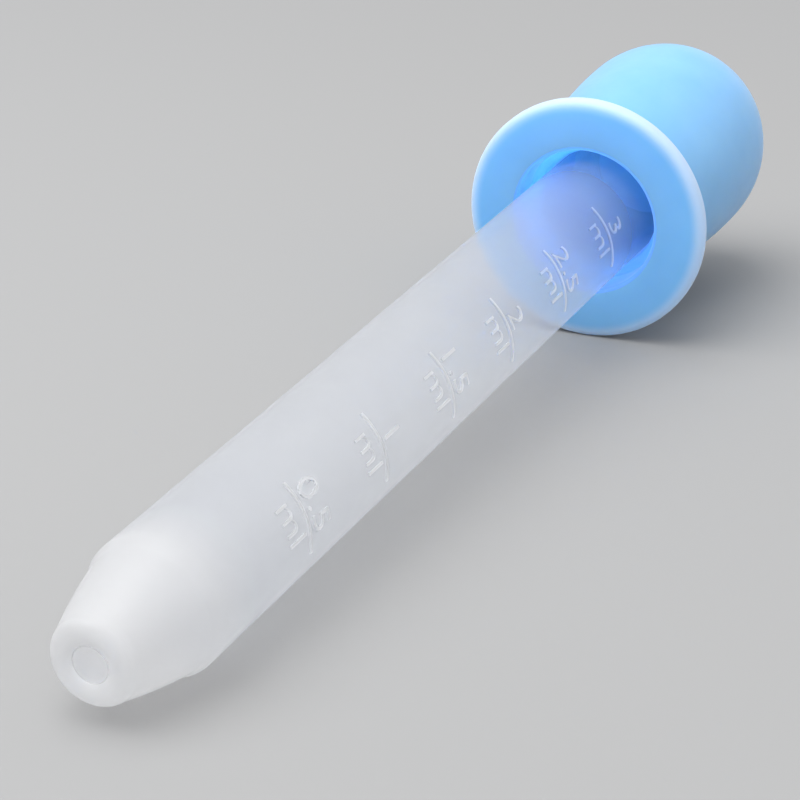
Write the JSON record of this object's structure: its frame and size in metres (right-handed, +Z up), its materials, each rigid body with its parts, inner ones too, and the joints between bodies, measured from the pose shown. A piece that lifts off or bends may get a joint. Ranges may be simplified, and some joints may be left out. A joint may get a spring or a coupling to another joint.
{
  "type": "medicine dropper",
  "caption": "Medicine dropper lying on its side: a hollow graduated tube with a tapered nozzle, pushed into a round-flanged hollow silicone bulb.",
  "frame": {"origin": "bottom centre of the bounding box, on the surface that the dropper lies on", "axes": "+Z up; +X along the dropper from the bulb to the tip, level, so the dropper's own axis leans 4.5 degrees below it; +Y across"},
  "size_m": [0.1074, 0.0208, 0.0209],
  "materials": {
    "polypropylene": "frosted translucent",
    "silicone": "smooth satin"
  },
  "bodies": {
    "tube": {"tube": "polypropylene"},
    "flange": {"bulb_flange": "silicone"},
    "bulb": {"squeeze_bulb": "silicone"}
  },
  "joints": [
    {"name": "bulb_pull", "type": "slide", "parent": "tube", "child": "flange", "axis": [-0.9969, 0, 0.0793], "range_m": [0, 0.022]},
    {"name": "bulb_press", "type": "slide", "parent": "flange", "child": "bulb", "axis": [0.9969, 0, -0.0793], "range_m": [0, 0.008], "stiffness_N_per_m": 600, "deforming": ["squeeze_bulb"]}
  ]
}
